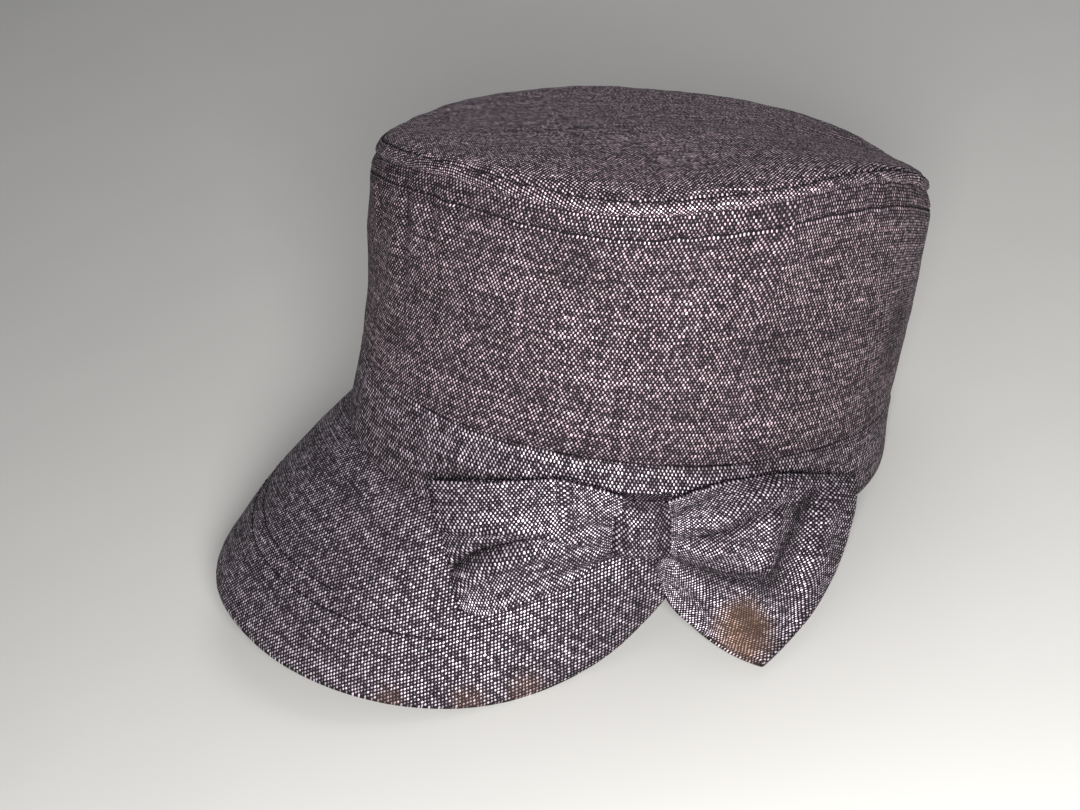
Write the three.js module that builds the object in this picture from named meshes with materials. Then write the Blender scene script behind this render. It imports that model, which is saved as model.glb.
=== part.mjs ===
// A cadet cap of dark slubbed linen: a tall crown with a nearly flat top, a band round the opening,
// a stiff visor that curves down round the front, and a flat cloth bow on the wearer's left.
//
// The cap is drawn level, with the opening's edge in the plane z = 0, the front towards -Y and the
// wearer's left towards +X. It is then tipped back until the visor and the back of the band both
// touch the floor. Lengths are in millimetres, angles in degrees, and an angle round the cap is
// that of the outward normal: 0 is the wearer's left, -90 the front and 90 the back.

import * as THREE from "three";

// Cloth and seams.
const clothThickness = 1.8;
const visorThickness = 3;
const bowThickness = 1.6;
const seamGap = 0.3;

// Band and crown. Each row is a level ring: its height above the opening, the half width at the
// sides, the reach to the front and to the back, how square the front and back halves of the plan
// are (2 is an ellipse), and the radius that rounds the corners.
const crownRings = [
  { height: 0, side: 88, front: 95, back: 100, frontSquare: 2.13, backSquare: 2, corner: 26 },
  { height: 25, side: 81.6, front: 91.8, back: 100.5, frontSquare: 2.13, backSquare: 2, corner: 26 },
  { height: 46, side: 82.9, front: 90.4, back: 100.2, frontSquare: 2.05, backSquare: 2.07, corner: 22 },
  { height: 71.5, side: 84.5, front: 92.3, back: 99.5, frontSquare: 1.96, backSquare: 2.16, corner: 17 },
  { height: 100, side: 90.5, front: 92.9, back: 93.7, frontSquare: 1.86, backSquare: 2.25, corner: 12 },
];
const bandHeight = crownRings[1].height;
const crownHeight = crownRings[crownRings.length - 1].height;
const topReach = crownRings[crownRings.length - 1].back;

// The band's seam dips and the top leans: rise per millimetre and sag of the ends. The top also
// stands a little over to the wearer's left, and its seam rises and falls in soft waves.
const seamLeanBack = -0.045;
const seamSaddle = 0.3;
const topLeanSide = 0.148;
const topLeanBack = -0.024;
const topSaddle = -4;
const topShift = 9;
const topTwoWave = -1.1;
const topThreeWave = 3.3;
const topFourWave = 1.8;
const topDome = 6.7;
const topRoundness = 14;

// Visor: how far round it is sewn on each side of the front, its length and how that shrinks
// towards its ends, its slope below level and how that grows, and how much it curls lengthwise.
const visorReach = 82.7;
const visorLength = 71.4;
const visorLengthLoss = 24.5;
const visorEndPower = 3.7;
const visorSlope = 49.7;
const visorSlopeGain = 48.4;
const visorCurl = 11.4;

// Bow: the knot's place on the band, and each loop as a flat bag between its root at the knot and
// its outer fold. A corner is measured along the band, upwards and outwards from the knot, and the
// bulge is how far the middle of the loop stands out to clear the band.
const knotAngle = -15;
const knotFrom = -22.5;
const knotTo = -13.5;
const knotBottom = 1;
const knotTop = 21;
const knotDepth = 10;
const knotFlatness = 0.2;
const loopHalfDepth = 3.6;
const loopRootHalfDepth = 2.6;
const bowLoops = [
  {
    name: "bow_front_loop",
    rootTop: [-15.8, 19.5, 1.5],
    rootBottom: [-15.6, 2, 3.5],
    foldTop: [-69.5, 11, -23.5],
    foldBottom: [-60, -20, 5.5],
    bulge: 6,
  },
  {
    name: "bow_back_loop",
    rootTop: [3, 18.5, 1.5],
    rootBottom: [3, -3, 4.5],
    foldTop: [72, 11, -27],
    foldBottom: [33, -26.5, 21],
    bulge: 6,
  },
];

// How the cap lies on the floor: tipped back on its visor.
const restPitch = 17.3;
const restRoll = 0;

// Fineness of the faceted cloth.
const columnsRound = 60;
const wallRows = 8;
const bandRows = 2;
const topRows = 9;
const visorColumns = 36;
const visorRows = 7;
const loopColumns = 24;
const loopRows = 8;
const knotColumns = 6;
const knotRows = 6;

const linen = { color: 0x50494c, roughness: 0.9, metalness: 0 };
const wornLinen = { color: 0x5a5053, roughness: 0.88, metalness: 0 };

const radians = THREE.MathUtils.degToRad;
const { clamp, lerp } = THREE.MathUtils;

// One column of the ring table at a height, on a smooth curve through the wall's rows. The band is
// straight up to its seam, where the surface may crease.
function ringValue(column, height) {
  const rows = height < bandHeight ? crownRings.slice(0, 2) : crownRings.slice(1);
  let lower = 0;
  while (lower < rows.length - 2 && height > rows[lower + 1].height) {
    lower += 1;
  }
  const row = (index) => rows[clamp(index, 0, rows.length - 1)];
  const slope = (index) =>
    (row(index + 1)[column] - row(index - 1)[column]) /
    (row(index + 1).height - row(index - 1).height);
  const span = row(lower + 1).height - row(lower).height;
  const t = (height - row(lower).height) / span;
  return (
    (2 * t ** 3 - 3 * t ** 2 + 1) * row(lower)[column] +
    (t ** 3 - 2 * t ** 2 + t) * span * slope(lower) +
    (3 * t ** 2 - 2 * t ** 3) * row(lower + 1)[column] +
    (t ** 3 - t ** 2) * span * slope(lower + 1)
  );
}

// Point of a rounded superellipse where its outward normal has the given angle.
function planPoint(side, reach, square, corner, angle) {
  const a = side - corner;
  const b = reach - corner;
  const c = Math.abs(Math.cos(angle));
  const s = Math.abs(Math.sin(angle));
  const h = ((a * c) ** square + (b * s) ** square) ** (1 / square);
  const x = a ** square * c ** (square - 1) * h ** (1 - square) + corner * c;
  const y = b ** square * s ** (square - 1) * h ** (1 - square) + corner * s;
  return [x * Math.sign(Math.cos(angle)), y * Math.sign(Math.sin(angle))];
}

// Outer surface of the band and crown, moved inwards by an inset.
function crownPoint(height, degreesRound, inset = 0) {
  const angle = radians(degreesRound);
  const atFront = Math.sin(angle) < 0;
  const reach = ringValue(atFront ? "front" : "back", height);
  const square = ringValue(atFront ? "frontSquare" : "backSquare", height);
  const corner = ringValue("corner", height);
  let [x, y] = planPoint(ringValue("side", height), reach, square, corner, angle);

  const up = clamp((height - bandHeight) / (crownHeight - bandHeight), 0, 1);
  const atSeam = clamp(height / bandHeight, 0, 1) * (1 - up);
  x += topShift * up - inset * Math.cos(angle);
  y -= inset * Math.sin(angle);
  const seamRise = y * seamLeanBack + seamSaddle * (2 * (y / reach) ** 2 - 1);
  const rise = up * (topRise(x, y) + topWave(angle)) + atSeam * seamRise;
  return new THREE.Vector3(x, y, height + rise);
}

// How far the top stands above its middle height at a place, and how far its seam waves there.
function topRise(x, y) {
  return x * topLeanSide + y * topLeanBack + topSaddle * (2 * (y / topReach) ** 2 - 1);
}

function topWave(angle) {
  return (
    topTwoWave * Math.sin(2 * angle) +
    topThreeWave * Math.sin(3 * angle) +
    topFourWave * Math.sin(4 * angle)
  );
}

// Outer surface of the top panel, from its centre (share 0) to its seam (share 1).
function topPoint(share, degreesRound, inset, drop) {
  const seam = crownPoint(crownHeight, degreesRound, inset);
  const x = lerp(topShift, seam.x, share);
  const y = seam.y * share;
  const shoulder = Math.sqrt(1 - share ** topRoundness);
  const wave = topWave(radians(degreesRound)) * share ** 2;
  const z = crownHeight + topRise(x, y) + wave + (topDome - drop) * shoulder + seamGap;
  return new THREE.Vector3(x, y, z);
}

// Surface of the visor: from one end to the other (across -1 to 1) and from seam to edge (along 0
// to 1), lowered square to itself by a depth.
function visorPoint(across, along, depth) {
  const degreesRound = -90 + across * visorReach;
  const angle = radians(degreesRound);
  const length =
    (visorLength - visorLengthLoss * across ** 2) *
    Math.sqrt(Math.max(1 - Math.abs(across) ** visorEndPower, 0.004));
  const slope = radians(visorSlope + visorSlopeGain * across ** 2);
  const curl = radians(visorCurl);
  const first = slope - curl;
  const bend = 2 * curl * along;
  const out = (length * (Math.sin(first + bend) - Math.sin(first))) / (2 * curl);
  const down = (length * (Math.cos(first) - Math.cos(first + bend))) / (2 * curl);
  const outward = new THREE.Vector3(Math.cos(angle), Math.sin(angle), 0);
  const base = crownPoint(0, degreesRound).addScaledVector(outward, out);
  base.addScaledVector(outward, -depth * Math.sin(first + bend));
  base.z -= down + depth * Math.cos(first + bend) + seamGap;
  return base;
}

// A closed solid between an outer and an inner surface, each given as point(row, column). The
// columns either close on themselves or end in two edges.
function sheetBetween(outer, inner, rows, columns, closesRound) {
  const points = [];
  const across = closesRound ? columns : columns + 1;
  for (const surface of [outer, inner]) {
    for (let row = 0; row <= rows; row += 1) {
      for (let column = 0; column < across; column += 1) {
        points.push(surface(row, column));
      }
    }
  }
  const size = (rows + 1) * across;
  const at = (side, row, column) => side * size + row * across + (column % across);
  const faces = [];
  const quad = (a, b, c, d) => faces.push([a, b, c], [a, c, d]);
  for (let column = 0; column < columns; column += 1) {
    const next = column + 1;
    for (let row = 0; row < rows; row += 1) {
      quad(at(0, row, column), at(0, row, next), at(0, row + 1, next), at(0, row + 1, column));
      quad(at(1, row + 1, column), at(1, row + 1, next), at(1, row, next), at(1, row, column));
    }
    quad(at(1, 0, column), at(1, 0, next), at(0, 0, next), at(0, 0, column));
    quad(at(0, rows, column), at(0, rows, next), at(1, rows, next), at(1, rows, column));
  }
  if (!closesRound) {
    for (let row = 0; row < rows; row += 1) {
      quad(at(1, row, 0), at(0, row, 0), at(0, row + 1, 0), at(1, row + 1, 0));
      quad(at(0, row, columns), at(1, row, columns), at(1, row + 1, columns), at(0, row + 1, columns));
    }
  }
  return solidFrom(points, faces);
}

// A closed shallow lid between an outer and an inner dome, each given as point(row, column) from
// row 0 at the seam to the last row, where all columns meet in one point.
function lidBetween(outer, inner, rows, columns) {
  const points = [];
  for (const surface of [outer, inner]) {
    for (let row = 0; row < rows; row += 1) {
      for (let column = 0; column < columns; column += 1) {
        points.push(surface(row, column));
      }
    }
    points.push(surface(rows, 0));
  }
  const size = rows * columns + 1;
  const at = (side, row, column) =>
    side * size + (row === rows ? size - 1 : row * columns + (column % columns));
  const faces = [];
  for (let column = 0; column < columns; column += 1) {
    const next = column + 1;
    for (let row = 0; row < rows - 1; row += 1) {
      const [a, b] = [at(0, row, column), at(0, row, next)];
      const [c, d] = [at(0, row + 1, next), at(0, row + 1, column)];
      faces.push([a, b, c], [a, c, d]);
      const [e, f] = [at(1, row, column), at(1, row, next)];
      const [g, h] = [at(1, row + 1, next), at(1, row + 1, column)];
      faces.push([e, g, f], [e, h, g]);
    }
    faces.push([at(0, rows - 1, column), at(0, rows - 1, next), at(0, rows, 0)]);
    faces.push([at(1, rows - 1, next), at(1, rows - 1, column), at(1, rows, 0)]);
    faces.push([at(1, 0, column), at(1, 0, next), at(0, 0, next)]);
    faces.push([at(1, 0, column), at(0, 0, next), at(0, 0, column)]);
  }
  return solidFrom(points, faces);
}

// Geometry of a closed solid, with its faces turned outwards.
function solidFrom(points, faces) {
  let volume = 0;
  for (const [a, b, c] of faces) {
    volume += points[a].dot(points[b].clone().cross(points[c]));
  }
  const index = faces.flatMap(([a, b, c]) => (volume < 0 ? [a, c, b] : [a, b, c]));
  const geometry = new THREE.BufferGeometry().setFromPoints(points);
  geometry.setIndex(index);
  geometry.computeVertexNormals();
  return geometry;
}

function piece(name, geometry, finish) {
  const mesh = new THREE.Mesh(geometry, new THREE.MeshStandardMaterial(finish));
  mesh.name = name;
  return mesh;
}

const degreesAt = (column) => (360 * column) / columnsRound;

// A ring of cloth standing between two heights of the crown.
function ringOfCloth(bottom, top, rows) {
  const surface = (inset) => (row, column) =>
    crownPoint(lerp(bottom, top, row / rows), degreesAt(column), inset);
  return sheetBetween(surface(0), surface(clothThickness), rows, columnsRound, true);
}

function topPanel() {
  const surface = (inset, drop) => (row, column) =>
    topPoint(Math.cos((row / topRows) * (Math.PI / 2)), degreesAt(column), inset, drop);
  return lidBetween(surface(0, 0), surface(clothThickness, clothThickness), topRows, columnsRound);
}

function visorSheet() {
  const surface = (depth) => (row, column) =>
    visorPoint((2 * column) / visorColumns - 1, row / visorRows, depth);
  return sheetBetween(surface(0), surface(visorThickness), visorRows, visorColumns, false);
}

// The knot hugs the band and bulges outwards between its edges.
function knotBlock() {
  const surface = (isOuter) => (row, column) => {
    const up = row / knotRows;
    const round = column / knotColumns;
    const bulge = Math.sin(Math.PI * clamp(round, 0.06, 0.94)) ** knotFlatness;
    const outset = isOuter ? knotDepth * bulge : seamGap;
    return crownPoint(lerp(knotBottom, knotTop, up), lerp(knotFrom, knotTo, round), -outset);
  };
  return sheetBetween(surface(true), surface(false), knotRows, knotColumns, false);
}

// Point measured along the band, upwards and outwards from the knot's place on the opening.
const knotOutward = new THREE.Vector3(Math.cos(radians(knotAngle)), Math.sin(radians(knotAngle)), 0);
const knotBackward = new THREE.Vector3(-knotOutward.y, knotOutward.x, 0);

function bowPoint([along, up, out]) {
  const point = crownPoint(0, knotAngle).addScaledVector(knotOutward, out);
  point.addScaledVector(knotBackward, along);
  point.z += up;
  return point;
}

// A loop is a strip of cloth folded back on itself: a flattened tube open above and below, whose
// section runs from the root along the outer panel, round the fold and back along the inner one.
function bowLoop(loop) {
  const rootTop = bowPoint(loop.rootTop);
  const rootBottom = bowPoint(loop.rootBottom);
  const foldTop = bowPoint(loop.foldTop);
  const foldBottom = bowPoint(loop.foldBottom);
  const length = rootTop.distanceTo(foldTop);
  const surface = (inset) => (row, column) => {
    const turn = (2 * Math.PI * column) / loopColumns;
    const trim = inset / length;
    const share = trim + (1 - 2 * trim) * (0.5 - 0.5 * Math.cos(turn));
    const up = row / loopRows;
    const top = rootTop.clone().lerp(foldTop, share);
    const point = rootBottom.clone().lerp(foldBottom, share).lerp(top, up);
    const run = foldTop.clone().lerp(foldBottom, 1 - up).sub(rootTop.clone().lerp(rootBottom, 1 - up));
    const rise = top.sub(rootBottom.clone().lerp(foldBottom, share));
    const facing = run.cross(rise).normalize();
    const halfDepth = lerp(loopRootHalfDepth, loopHalfDepth, share) - inset;
    const roundness = Math.sign(Math.sin(turn)) * Math.abs(Math.sin(turn)) ** 0.6;
    point.addScaledVector(facing, halfDepth * roundness);
    return point.addScaledVector(knotOutward, 4 * loop.bulge * share * (1 - share));
  };
  return sheetBetween(surface(0), surface(bowThickness), loopRows, loopColumns, true);
}

const cap = new THREE.Group();
cap.add(
  piece("head_band", ringOfCloth(0, bandHeight - seamGap, bandRows), linen),
  piece("crown_side", ringOfCloth(bandHeight, crownHeight, wallRows), linen),
  piece("crown_top", topPanel(), linen),
  piece("visor", visorSheet(), wornLinen),
  piece("bow_knot", knotBlock(), linen),
);
for (const loop of bowLoops) {
  cap.add(piece(loop.name, bowLoop(loop), wornLinen));
}

// Tip the cap back on its visor and stand it on the floor, with its box centred on the origin.
cap.rotation.set(-radians(restPitch), radians(restRoll), 0);
cap.updateMatrixWorld(true);
const box = new THREE.Box3().setFromObject(cap, true);
const middle = box.getCenter(new THREE.Vector3());
cap.position.set(-middle.x, -middle.y, -box.min.z);

const part = new THREE.Group();
part.add(cap);

export default part;
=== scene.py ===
# Looks of the cadet cap: dark slubbed linen sewn over the crown, band, visor and side bow.
import bpy
import math
import numpy as np
from mathutils import Matrix, Vector


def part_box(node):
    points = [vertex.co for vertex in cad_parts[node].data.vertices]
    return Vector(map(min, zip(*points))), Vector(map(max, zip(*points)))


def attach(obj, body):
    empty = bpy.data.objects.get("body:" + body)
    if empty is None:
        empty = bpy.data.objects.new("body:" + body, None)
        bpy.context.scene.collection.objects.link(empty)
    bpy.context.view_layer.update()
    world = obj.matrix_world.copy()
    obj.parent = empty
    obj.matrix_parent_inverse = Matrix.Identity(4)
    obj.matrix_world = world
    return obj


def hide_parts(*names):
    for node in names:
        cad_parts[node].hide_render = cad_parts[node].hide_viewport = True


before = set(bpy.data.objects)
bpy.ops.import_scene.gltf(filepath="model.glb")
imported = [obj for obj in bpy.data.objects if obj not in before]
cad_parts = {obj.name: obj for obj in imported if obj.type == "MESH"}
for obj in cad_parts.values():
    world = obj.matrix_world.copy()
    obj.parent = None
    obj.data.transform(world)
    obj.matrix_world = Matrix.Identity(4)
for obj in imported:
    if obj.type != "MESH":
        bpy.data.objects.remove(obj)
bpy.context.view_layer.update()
print("frame loaded with", len(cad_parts), "pieces")

# the cap drawn level, in millimetres and degrees: opening at height 0, front towards -Y,
# wearer's left towards +X, angles round the cap from the left (0) over the back (90)
capShape = {
    "height": [0, 25, 46, 71.5, 100],
    "side": [88, 81.6, 82.9, 84.5, 90.5],
    "front": [95, 91.8, 90.4, 92.3, 92.9],
    "back": [100, 100.5, 100.2, 99.5, 93.7],
    "frontSquare": [2.13, 2.13, 2.05, 1.96, 1.86],
    "backSquare": [2, 2, 2.07, 2.16, 2.25],
    "corner": [26, 26, 22, 17, 12],
    "bandHeight": 25,
    "crownHeight": 100,
    "seamGap": 0.3,
    "seamLeanBack": -0.045,
    "seamSaddle": 0.3,
    "topLeanSide": 0.148,
    "topLeanBack": -0.024,
    "topSaddle": -4,
    "topShift": 9,
    "topReach": 93.7,
    "topWaves": {2: -1.1, 3: 3.3, 4: 1.8},
    "topDome": 6.7,
    "topRoundness": 14,
    "endSag": {"lift": -2.6, "angle": 48, "spread": 17},  # the seam dips behind the left ear
    "pitch": 17.3,
}
perDegree = 1.56  # millimetres round the crown for one degree

visorShape = {
    "reach": 82.7,
    "length": 71.4,
    "lengthLoss": 24.5,
    "endPower": 3.7,
    "slope": 49.7,
    "slopeGain": 48.4,
    "curl": 11.4,
    "thickness": 2.8,
}


def mix(a, b, share):
    return a + (b - a) * share


def ease(low, high, value):
    share = np.clip((value - low) / (high - low), 0, 1)
    return share * share * (3 - 2 * share)


def bell(distance, spread):
    return np.exp(-((distance / spread) ** 2))


def roundDistance(degreesRound, centre):
    return (degreesRound - centre + 180) % 360 - 180


def wander(points, size, seed):  # soft waves in all directions, about one unit high
    dice = np.random.default_rng(seed)
    total = np.zeros(points.shape[:-1])
    for _ in range(12):
        heading = dice.normal(size=3)
        heading *= 2 * math.pi / (size * dice.uniform(0.7, 1.6) * np.linalg.norm(heading))
        total += np.sin(points @ heading + dice.uniform(0, 2 * math.pi))
    return total / 3.2


def ringValue(column, height):
    knots = np.array(capShape["height"], float)
    values = np.array(capShape[column], float)
    band = mix(values[0], values[1], height / knots[1])
    knots, values = knots[1:], values[1:]
    slopes = np.empty_like(values)
    slopes[1:-1] = (values[2:] - values[:-2]) / (knots[2:] - knots[:-2])
    slopes[0] = (values[1] - values[0]) / (knots[1] - knots[0])
    slopes[-1] = (values[-1] - values[-2]) / (knots[-1] - knots[-2])
    row = np.clip(np.searchsorted(knots, height, side="right") - 1, 0, len(knots) - 2)
    span = knots[row + 1] - knots[row]
    t = (height - knots[row]) / span
    wall = (
        (2 * t**3 - 3 * t**2 + 1) * values[row]
        + (t**3 - 2 * t**2 + t) * span * slopes[row]
        + (3 * t**2 - 2 * t**3) * values[row + 1]
        + (t**3 - t**2) * span * slopes[row + 1]
    )
    return np.where(height < capShape["bandHeight"], band, wall)


def crownPoint(height, degreesRound, inset=0):
    height, degreesRound = np.broadcast_arrays(
        np.asarray(height, float), np.asarray(degreesRound, float)
    )
    angle = np.radians(degreesRound)
    atFront = np.sin(angle) < 0
    reach = np.where(atFront, ringValue("front", height), ringValue("back", height))
    square = np.where(atFront, ringValue("frontSquare", height), ringValue("backSquare", height))
    corner = ringValue("corner", height)
    a, b = ringValue("side", height) - corner, reach - corner
    c, s = np.abs(np.cos(angle)) + 1e-9, np.abs(np.sin(angle)) + 1e-9
    h = ((a * c) ** square + (b * s) ** square) ** (1 / square)
    x = (a**square * c ** (square - 1) * h ** (1 - square) + corner * c) * np.sign(np.cos(angle))
    y = (b**square * s ** (square - 1) * h ** (1 - square) + corner * s) * np.sign(np.sin(angle))
    bandHeight, crownHeight = capShape["bandHeight"], capShape["crownHeight"]
    up = np.clip((height - bandHeight) / (crownHeight - bandHeight), 0, 1)
    atSeam = np.clip(height / bandHeight, 0, 1) * (1 - up)
    x = x + capShape["topShift"] * up - inset * np.cos(angle)
    y = y - inset * np.sin(angle)
    seamRise = y * capShape["seamLeanBack"] + capShape["seamSaddle"] * (2 * (y / reach) ** 2 - 1)
    rise = up * (topRise(x, y) + topWave(angle)) + atSeam * seamRise
    return np.stack([x, y, height + rise], axis=-1)


def topRise(x, y):
    lean = x * capShape["topLeanSide"] + y * capShape["topLeanBack"]
    return lean + capShape["topSaddle"] * (2 * (y / capShape["topReach"]) ** 2 - 1)


def topWave(angle):
    wave = sum(size * np.sin(count * angle) for count, size in capShape["topWaves"].items())
    sag = capShape["endSag"]
    apart = roundDistance(np.degrees(angle), sag["angle"])
    return wave + sag["lift"] * bell(apart, sag["spread"])


def topPoint(share, degreesRound):
    seam = crownPoint(capShape["crownHeight"], degreesRound)
    x = mix(capShape["topShift"], seam[..., 0], share)
    y = seam[..., 1] * share
    shoulder = np.sqrt(1 - share ** capShape["topRoundness"])
    z = capShape["crownHeight"] + topRise(x, y) + topWave(np.radians(degreesRound)) * share**2
    return np.stack([x, y, z + capShape["topDome"] * shoulder + capShape["seamGap"]], axis=-1)


def visorSpread(across):  # length of the visor and its slope at a place round the front
    shape = visorShape
    ending = np.sqrt(np.maximum(1 - np.abs(across) ** shape["endPower"], 0.004))
    length = (shape["length"] - shape["lengthLoss"] * across**2) * ending
    return length, np.radians(shape["slope"] + shape["slopeGain"] * across**2)


def visorPoint(across, along):
    angle = np.radians(-90 + across * visorShape["reach"])
    length, slope = visorSpread(across)
    curl = math.radians(visorShape["curl"])
    first, bend = slope - curl, 2 * curl * along
    out = length * (np.sin(first + bend) - np.sin(first)) / (2 * curl)
    down = length * (np.cos(first) - np.cos(first + bend)) / (2 * curl)
    base = crownPoint(0, -90 + across * visorShape["reach"])
    fall = -down - capShape["seamGap"]
    return base + np.stack([out * np.cos(angle), out * np.sin(angle), fall], axis=-1)


pitch = math.radians(capShape["pitch"])
tip = np.array([
    [1, 0, 0],
    [0, math.cos(pitch), math.sin(pitch)],
    [0, -math.sin(pitch), math.cos(pitch)],
])
# the wall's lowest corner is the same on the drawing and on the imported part
drawnWall = crownPoint(np.linspace(25, 100, 9)[:, None], np.arange(0, 360, 6.0)[None, :]) @ tip.T
settle = np.array(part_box("crown_side")[0]) - drawnWall.reshape(-1, 3).min(axis=0) * 0.001


def onFloor(points):  # from the level drawing, in millimetres, to the cap as it lies, in metres
    return np.asarray(points, float) @ tip.T * 0.001 + settle


# the eye, as place, tilt and lens
cameraPlace = {
    "azimuth": 65.32, "elevation": 26.79, "distance": 595.5, "roll": 5.703,
    "target": [0, -28.9, 7.8], "lens": 56.67,
}


def makeCamera(place):
    azimuth, elevation, roll = (
        math.radians(place[name]) for name in ("azimuth", "elevation", "roll")
    )
    back = np.array([
        math.sin(azimuth) * math.cos(elevation),
        -math.cos(azimuth) * math.cos(elevation),
        math.sin(elevation),
    ])
    across = np.cross(-back, [0, 0, 1])
    across /= np.linalg.norm(across)
    up = np.cross(across, -back)
    right = across * math.cos(roll) + up * math.sin(roll)
    up = up * math.cos(roll) - across * math.sin(roll)
    eye = np.array(place["target"]) + back * place["distance"]
    data = bpy.data.cameras.new("capCamera")
    data.lens, data.sensor_width = place["lens"], 36
    data.clip_start, data.clip_end = 0.01, 20
    camera = bpy.data.objects.new("capCamera", data)
    bpy.context.scene.collection.objects.link(camera)
    turned = Matrix(np.column_stack([tip @ right, tip @ up, tip @ back]).tolist())
    camera.matrix_world = Matrix.Translation(Vector(onFloor(eye))) @ turned.to_4x4()
    bpy.context.scene.camera = camera
    return camera


camera = makeCamera(cameraPlace)
print("camera stands at", [round(value, 3) for value in camera.location])


def lengthsAlong(line):
    strides = np.linalg.norm(np.diff(line, axis=0), axis=1)
    return np.concatenate([[0], np.cumsum(strides)])


def pointsAt(places, known, values):  # points or normals read off between known places
    return np.stack([np.interp(places, known, values[:, k]) for k in range(3)], axis=-1)


def surfaceNormals(grid, closed):
    if closed:
        around = np.roll(grid, -1, axis=1) - np.roll(grid, 1, axis=1)
    else:
        around = np.gradient(grid, axis=1)
    normals = np.cross(around, np.gradient(grid, axis=0))
    return normals / np.maximum(np.linalg.norm(normals, axis=-1, keepdims=True), 1e-9)


def edgeRoll(fromEdge, toEdge, inside, steps=4):  # half a circle round the cloth's edge
    middle, arm = (fromEdge + toEdge) / 2, (fromEdge - toEdge) / 2
    beyond = fromEdge - inside
    radius = np.linalg.norm(arm, axis=-1, keepdims=True)
    beyond *= radius / np.maximum(np.linalg.norm(beyond, axis=-1, keepdims=True), 1e-9)
    turns = np.linspace(0, math.pi, steps + 1)[1:-1]
    return [middle + arm * math.cos(turn) + beyond * math.sin(turn) for turn in turns]


def addObject(name, data):
    thing = bpy.data.objects.new(name, data)
    bpy.context.scene.collection.objects.link(thing)
    return thing


def smoothMesh(name, points, faces):  # from points of the level drawing
    mesh = bpy.data.meshes.new(name)
    mesh.from_pydata(onFloor(points).tolist(), [], faces)
    mesh.polygons.foreach_set("use_smooth", np.ones(len(faces), bool))
    return mesh


def clothPiece(name, outer, thickness, threads, closed, relief):
    # outer is a grid of points and threads the same grid laid flat, both in millimetres;
    # relief is how far each point stands out, which the material turns into painted shade where it is
    # sunk and a lighter colour where it is raised
    normals = surfaceNormals(outer, closed)
    inner = outer - normals * np.broadcast_to(thickness, outer.shape[:2])[..., None]
    rows, columns = outer.shape[:2]
    topRoll = edgeRoll(outer[-1], inner[-1], outer[-2])
    bottomRoll = edgeRoll(inner[0], outer[0], inner[1])
    loops = np.stack([*outer, *topRoll, *inner[::-1], *bottomRoll])
    rolls = len(topRoll)
    rowOf = [*range(rows), *[rows - 1] * rolls, *range(rows - 1, -1, -1), *[0] * rolls]
    flat = threads[rowOf]
    ring = len(loops)
    index = np.arange(ring * columns).reshape(ring, columns)
    nextRow = np.roll(index, -1, axis=0)
    if closed:
        quads = np.stack([index, np.roll(index, -1, 1), np.roll(nextRow, -1, 1), nextRow], -1)
    else:
        quads = np.stack([index[:, :-1], index[:, 1:], nextRow[:, 1:], nextRow[:, :-1]], -1)
    left, right = flat[:, :-1], flat[:, 1:]
    corners = np.stack([left, right, np.roll(right, -1, 0), np.roll(left, -1, 0)], 2)
    faces = quads.reshape(-1, 4).tolist()
    laid = corners.reshape(-1, 2)
    if not closed:
        lastInner = 2 * rows + rolls - 1
        ends = [[row, row + 1, lastInner - row - 1, lastInner - row] for row in range(rows - 1)]
        ends.append([*range(rows - 1, rows + rolls + 1)])
        ends.append([*range(2 * rows + rolls - 1, ring), 0])
        for column, order in ((0, 1), (columns - 1, -1)):
            for end in ends:
                faces.append([int(index[row, column]) for row in end][::order])
                laid = np.vstack([laid, flat[end, column][::order]])
    mesh = smoothMesh(name, loops.reshape(-1, 3), faces)
    layer = mesh.uv_layers.new(name="threads")
    layer.data.foreach_set("uv", (laid * 0.001).astype(np.float32).ravel())
    mesh.attributes.new("relief", "FLOAT", "POINT").data.foreach_set(
        "value", relief[rowOf].astype(np.float32).ravel()
    )
    mesh.update()
    print(name, "has", len(faces), "faces")
    return addObject(name, mesh)


def steps(*runs):  # uneven rows: (from, to, spacing) for each run
    places = [
        np.linspace(start, end, max(2, int(round(abs(end - start) / gap)) + 1))[:-1]
        for start, end, gap in runs
    ]
    return np.concatenate([*places, [runs[-1][1]]])


def evenly(pointAt, start, end, spacing):  # parameters that give even steps along a line
    dense = np.linspace(start, end, 2401)
    lengths = lengthsAlong(pointAt(dense))
    count = max(4, int(round(lengths[-1] / spacing)))
    even = np.linspace(0, lengths[-1], count + 1)
    return np.interp(even, lengths, dense), even


def smoothLine(points, count):  # a soft curve through a few points
    points = np.array(points, float)
    padded = np.vstack([2 * points[0] - points[1], points, 2 * points[-1] - points[-2]])
    where = np.linspace(0, len(points) - 1, count)
    first = np.minimum(where.astype(int), len(points) - 2)
    t = (where - first)[:, None]
    a, b, c, d = (padded[first + offset] for offset in range(4))
    return 0.5 * (
        2 * b + (c - a) * t + (2 * a - 5 * b + 4 * c - d) * t**2 + (3 * b - a - 3 * c + d) * t**3
    )


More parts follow.
